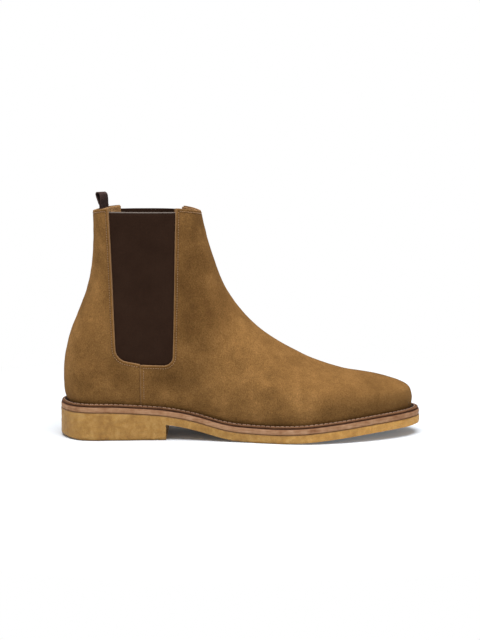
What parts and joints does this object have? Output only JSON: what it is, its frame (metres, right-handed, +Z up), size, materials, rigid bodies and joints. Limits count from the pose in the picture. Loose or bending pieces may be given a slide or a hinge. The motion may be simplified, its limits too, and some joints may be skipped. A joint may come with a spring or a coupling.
{
  "type": "chelsea boot",
  "caption": "Ankle-high suede chelsea boot with elastic side gores, webbing pull tab, leather welt and midsole, crepe outsole and stacked crepe heel.",
  "frame": {"origin": "on the ground under the middle of the heel's length, on the boot's centre line", "axes": "+X towards the toe, +Y towards the inner side of the foot, +Z up; the boot stands on the plane z = 0"},
  "size_m": [0.304, 0.0985, 0.2044],
  "materials": {
    "suede": "napped suede",
    "elastic": "ribbed elastic weave",
    "lining": "smooth",
    "inner_suede": "napped",
    "stiffener": "matte board",
    "tape": "woven tape",
    "webbing": "woven, slight sheen",
    "thread": "twisted thread",
    "welt_leather": "wheeled edge",
    "welt_thread": "waxed thread",
    "insole_leather": "vegetable tanned",
    "canvas": "gummed canvas",
    "cork": "granular",
    "steel": "spring steel",
    "sole_leather": "cut edge",
    "crepe": "natural crepe, mottled",
    "sock": "smooth",
    "cushion": "foam"
  },
  "bodies": {
    "boot": {"vamp": "suede", "vamp_lining": "lining", "gore_lateral": "elastic", "gore_medial": "elastic", "heel_counter": "stiffener", "collar_tape_front": "tape", "vamp_stitching": "thread", "welt": "welt_leather", "welt_stitching": "welt_thread", "insole": "insole_leather", "insole_rib": "canvas", "cork_filler": "cork", "shank": "steel", "midsole": "sole_leather", "outsole": "crepe", "heel_lift": "crepe", "top_piece": "crepe", "heel_nails": "steel", "sock_liner": "sock", "heel_cushion": "cushion"},
    "forefoot": {"toe_puff": "stiffener"},
    "back_shaft": {"quarter": "suede", "quarter_lining": "inner_suede", "quarter_stitching": "thread", "collar_tape_back": "tape"},
    "pull_tab": {"pull_tab": "webbing"}
  },
  "joints": [
    {"name": "forefoot_flex", "type": "hinge", "parent": "boot", "child": "forefoot", "pos_m": [0.15, 0, 0.014], "axis": [0, -1, 0], "range_deg": [0, 25], "deforming": ["vamp", "vamp_lining", "outsole", "midsole", "welt", "welt_stitching", "insole", "insole_rib", "cork_filler", "sock_liner"]},
    {"name": "shaft_open", "type": "hinge", "parent": "boot", "child": "back_shaft", "pos_m": [-0.026, 0, 0.074], "axis": [0, -1, 0], "range_deg": [0, 12], "deforming": ["quarter", "quarter_lining", "quarter_stitching", "gore_lateral", "gore_medial"]},
    {"name": "pull_tab_fold", "type": "hinge", "parent": "back_shaft", "child": "pull_tab", "pos_m": [-0.01098, 0.01798, 0.1909], "axis": [-0.5159, -0.8566, 0], "range_deg": [-70, 80], "deforming": ["pull_tab"]}
  ]
}
